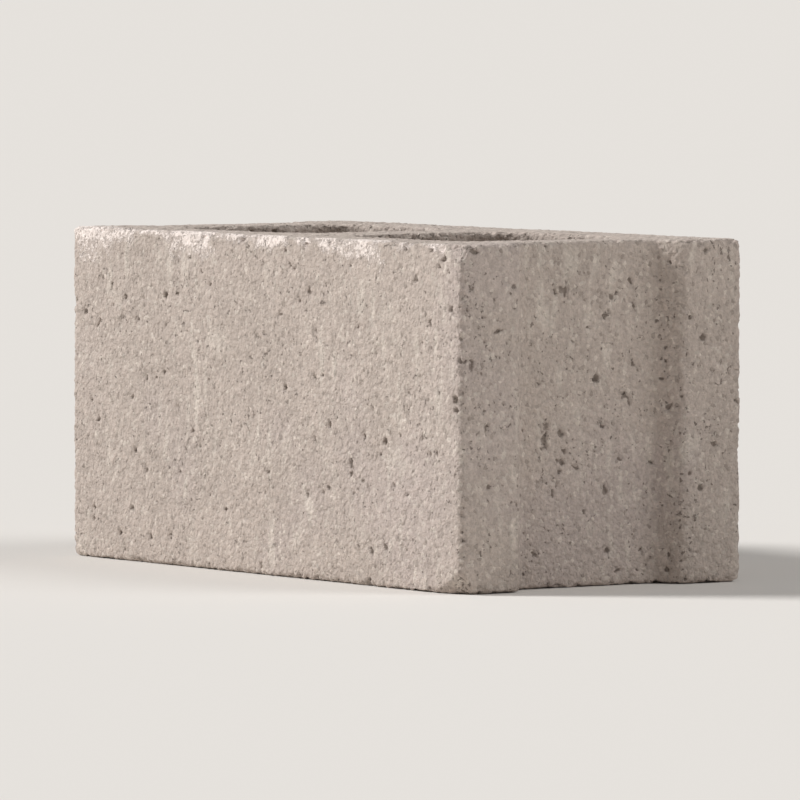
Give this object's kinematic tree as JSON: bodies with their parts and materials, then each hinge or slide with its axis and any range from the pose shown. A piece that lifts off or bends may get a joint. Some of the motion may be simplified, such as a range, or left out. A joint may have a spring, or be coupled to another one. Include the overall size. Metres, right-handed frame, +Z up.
{
  "type": "hollow concrete block",
  "caption": "Hollow pressed concrete masonry block with drafted, flared cells and flanged ends, for mortared walls.",
  "frame": {"origin": "centre of the bottom bed, on the surface the block rests on", "axes": "+X along the block's length, -Y out of the face shown in a wall, +Z up as laid, towards the bed with the thicker shells"},
  "size_m": [0.3968, 0.1938, 0.1937],
  "materials": {
    "concrete": "pressed buff concrete, fine open sand texture, matt"
  },
  "bodies": {
    "root": {"concrete_block": "concrete"}
  },
  "joints": []
}
